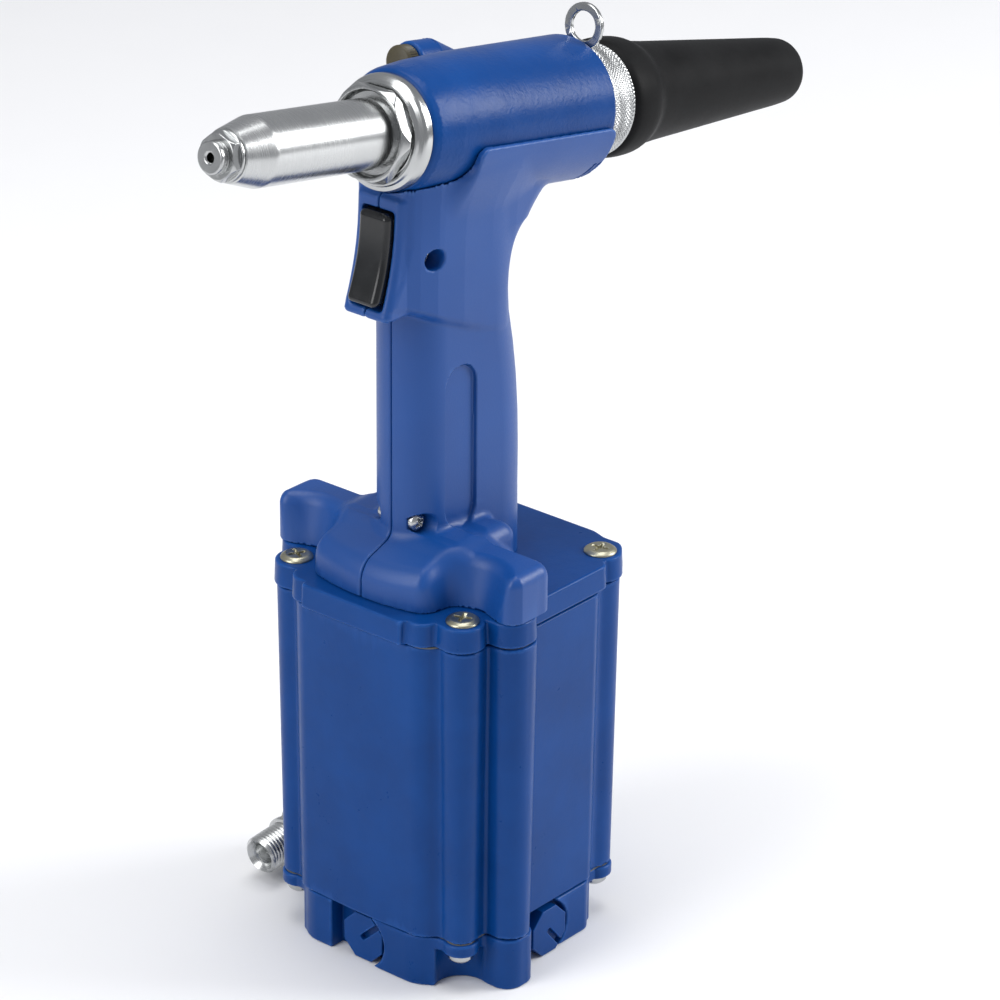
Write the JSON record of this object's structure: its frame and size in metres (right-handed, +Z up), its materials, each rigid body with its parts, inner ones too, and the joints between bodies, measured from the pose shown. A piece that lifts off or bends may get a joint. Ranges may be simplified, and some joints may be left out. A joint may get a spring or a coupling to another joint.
{
  "type": "hand riveter",
  "caption": "Pistol-grip pneumatic hand riveter with a square air cylinder as its base, a steel pulling nose, a trigger and a rubber mandrel case.",
  "frame": {"origin": "centre of the base's underside, on the axis of the air cylinder", "axes": "+Z up along the air cylinder, -X towards the nose, +Y the tool's left-hand side with the air inlet when seen from behind the nose"},
  "size_m": [0.2707, 0.1156, 0.2956],
  "materials": {
    "blue_paint": "satin blue enamel on die-cast aluminium",
    "blue_nylon": "satin blue moulded nylon, fine texture",
    "black_gloss": "glossy black moulding",
    "black_rubber": "satin black rubber",
    "seal_rubber": "black nitrile",
    "gasket_fibre": "grey gasket sheet",
    "polished_steel": "polished steel",
    "turned_steel": "turned steel with fine rings",
    "dark_steel": "hardened dark steel",
    "zinc_steel": "yellow-grey zinc plate",
    "bare_aluminium": "machined aluminium",
    "plain_brass": "machined brass",
    "olive_plastic": "dark olive moulded knob"
  },
  "bodies": {
    "housing": {"base_cap": "blue_paint", "base_gasket": "gasket_fibre", "base_screws": "polished_steel", "front_port_plug": "blue_paint", "side_port_plug": "blue_paint", "bumper": "seal_rubber", "air_cylinder": "blue_paint", "plate_gasket": "gasket_fibre", "top_plate": "blue_paint", "plate_screws": "zinc_steel", "ram_gland": "plain_brass", "ram_seal": "seal_rubber", "head_casting": "blue_paint", "head_screws": "turned_steel", "left_cover": "blue_nylon", "right_cover": "blue_nylon", "cover_screws": "turned_steel", "trigger_pin": "turned_steel", "valve_body": "plain_brass", "valve_spring": "turned_steel", "air_tube": "turned_steel", "front_flange": "polished_steel", "lock_nut": "polished_steel", "nose_housing": "turned_steel", "nosepiece": "polished_steel", "return_spring": "turned_steel", "rear_cap": "turned_steel", "inlet_bush": "turned_steel"},
    "air_piston": {"air_piston": "bare_aluminium", "air_piston_seal": "seal_rubber", "ram": "polished_steel", "ram_nut": "turned_steel"},
    "pull_piston": {"pull_piston": "polished_steel", "pull_piston_seal": "seal_rubber", "jaw_case": "dark_steel", "jaw_spring": "turned_steel", "mandrel_tube": "turned_steel"},
    "jaw_1": {"jaw_1": "dark_steel"},
    "jaw_2": {"jaw_2": "dark_steel"},
    "jaw_3": {"jaw_3": "dark_steel"},
    "jaw_pusher": {"jaw_pusher": "turned_steel"},
    "trigger": {"trigger": "black_gloss"},
    "valve_rod": {"valve_rod": "turned_steel"},
    "hanger": {"hanger": "polished_steel"},
    "mandrel_case": {"mandrel_case": "black_rubber"},
    "vacuum_knob": {"vacuum_knob": "olive_plastic"},
    "inlet_swivel": {"inlet_swivel": "turned_steel", "inlet_nipple": "turned_steel"}
  },
  "joints": [
    {"name": "air_stroke", "type": "slide", "parent": "housing", "child": "air_piston", "axis": [0, 0, 1], "range_m": [0, 0.076]},
    {"name": "pull_stroke", "type": "slide", "parent": "housing", "child": "pull_piston", "axis": [0.987, 0, -0.1609], "range_m": [0, 0.0156], "stiffness_N_per_m": 1200, "springref_m": -0.004, "deforming": ["return_spring"]},
    {"name": "jaw_1_grip", "type": "slide", "parent": "pull_piston", "child": "jaw_1", "axis": [-0.9319, 0, 0.3626], "range_m": [0, 0.0016]},
    {"name": "jaw_2_grip", "type": "slide", "parent": "pull_piston", "child": "jaw_2", "axis": [-0.9821, -0.1801, 0.0548], "range_m": [0, 0.0016]},
    {"name": "jaw_3_grip", "type": "slide", "parent": "pull_piston", "child": "jaw_3", "axis": [-0.9821, 0.1801, 0.0548], "range_m": [0, 0.0016]},
    {"name": "pusher_follow", "type": "slide", "parent": "pull_piston", "child": "jaw_pusher", "axis": [-0.987, 0, 0.1609], "range_m": [0, 0.0016], "stiffness_N_per_m": 300, "springref_m": 0.004, "deforming": ["jaw_spring"]},
    {"name": "trigger_press", "type": "hinge", "parent": "housing", "child": "trigger", "pos_m": [-0.0305, 0, 0.249], "axis": [0, -1, 0], "range_deg": [0, 7], "stiffness_Nm_per_rad": 0.4, "springref_deg": -5.73},
    {"name": "valve_travel", "type": "slide", "parent": "housing", "child": "valve_rod", "axis": [1, 0, 0], "range_m": [0, 0.0025], "deforming": ["valve_spring"]},
    {"name": "hanger_swivel", "type": "hinge", "parent": "housing", "child": "hanger", "pos_m": [0.05211, 0, 0.2624], "axis": [0.987, 0, -0.1609], "range_deg": [-100, 100]},
    {"name": "case_pull_off", "type": "slide", "parent": "housing", "child": "mandrel_case", "axis": [0.987, 0, -0.1609], "range_m": [0, 0.006]},
    {"name": "vacuum_turn", "type": "hinge", "parent": "housing", "child": "vacuum_knob", "pos_m": [0.00586, 0.0252, 0.282], "axis": [0.987, 0, -0.1609], "range_deg": [0, 90]},
    {"name": "inlet_turn", "type": "hinge", "parent": "housing", "child": "inlet_swivel", "pos_m": [-0.002, 0.058, 0.0122], "axis": [0, 1, 0], "continuous": true}
  ],
  "couplings": [
    {"joint": "pull_stroke", "follows": "air_stroke", "ratio": 0.2041},
    {"joint": "jaw_1_grip", "follows": "air_stroke", "ratio": 0.02},
    {"joint": "jaw_2_grip", "follows": "air_stroke", "ratio": 0.02},
    {"joint": "jaw_3_grip", "follows": "air_stroke", "ratio": 0.02},
    {"joint": "pusher_follow", "follows": "air_stroke", "ratio": 0.01956},
    {"joint": "valve_travel", "follows": "trigger_press", "m_per_rad": 0.02}
  ]
}
